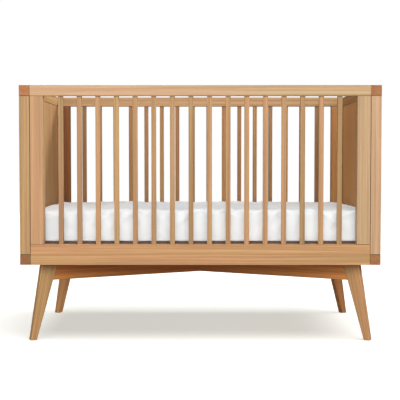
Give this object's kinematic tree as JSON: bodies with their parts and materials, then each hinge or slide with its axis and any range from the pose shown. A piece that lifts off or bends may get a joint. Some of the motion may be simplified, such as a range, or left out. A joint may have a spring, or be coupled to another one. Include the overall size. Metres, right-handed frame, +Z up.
{
  "type": "baby crib",
  "caption": "Slatted wooden baby crib with solid end panels, a height-adjustable steel mattress support, splayed tapered legs on crossed diagonal beams, and a sheeted mattress.",
  "frame": {"origin": "on the floor, under the middle of the crib", "axes": "+X along the length of the crib to its right, +Y from its front to its rear, +Z up"},
  "size_m": [1.412, 0.793, 1.008],
  "materials": {
    "frame_wood": "satin",
    "mattress_cover": "matte",
    "support_steel": "satin",
    "bolt_steel": "satin"
  },
  "bodies": {
    "crib_frame": {"frame_bolts": "bolt_steel", "front_bottom_rail": "frame_wood", "front_left_leg": "frame_wood", "front_left_post": "frame_wood", "front_left_stile": "frame_wood", "front_right_leg": "frame_wood", "front_right_post": "frame_wood", "front_right_stile": "frame_wood", "front_slat_01": "frame_wood", "front_slat_02": "frame_wood", "front_slat_03": "frame_wood", "front_slat_04": "frame_wood", "front_slat_05": "frame_wood", "front_slat_06": "frame_wood", "front_slat_07": "frame_wood", "front_slat_08": "frame_wood", "front_slat_09": "frame_wood", "front_slat_10": "frame_wood", "front_slat_11": "frame_wood", "front_slat_12": "frame_wood", "front_slat_13": "frame_wood", "front_slat_14": "frame_wood", "front_slat_15": "frame_wood", "front_slat_16": "frame_wood", "front_top_rail": "frame_wood", "left_bottom_rail": "frame_wood", "left_panel": "frame_wood", "left_top_rail": "frame_wood", "lower_cross_beam": "frame_wood", "rear_bottom_rail": "frame_wood", "rear_left_leg": "frame_wood", "rear_left_post": "frame_wood", "rear_left_stile": "frame_wood", "rear_right_leg": "frame_wood", "rear_right_post": "frame_wood", "rear_right_stile": "frame_wood", "rear_slat_01": "frame_wood", "rear_slat_02": "frame_wood", "rear_slat_03": "frame_wood", "rear_slat_04": "frame_wood", "rear_slat_05": "frame_wood", "rear_slat_06": "frame_wood", "rear_slat_07": "frame_wood", "rear_slat_08": "frame_wood", "rear_slat_09": "frame_wood", "rear_slat_10": "frame_wood", "rear_slat_11": "frame_wood", "rear_slat_12": "frame_wood", "rear_slat_13": "frame_wood", "rear_slat_14": "frame_wood", "rear_slat_15": "frame_wood", "rear_slat_16": "frame_wood", "rear_top_rail": "frame_wood", "right_bottom_rail": "frame_wood", "right_panel": "frame_wood", "right_top_rail": "frame_wood", "upper_cross_beam": "frame_wood"},
    "support": {"mattress_support": "support_steel", "support_bolts": "bolt_steel"},
    "mattress": {"mattress": "mattress_cover"}
  },
  "joints": [
    {"name": "support_height", "type": "slide", "parent": "crib_frame", "child": "support", "axis": [0, 0, 1], "range_m": [-0.046, 0.138]},
    {"name": "mattress_lift", "type": "slide", "parent": "support", "child": "mattress", "axis": [0, 0, 1], "range_m": [0, 0.65]}
  ]
}
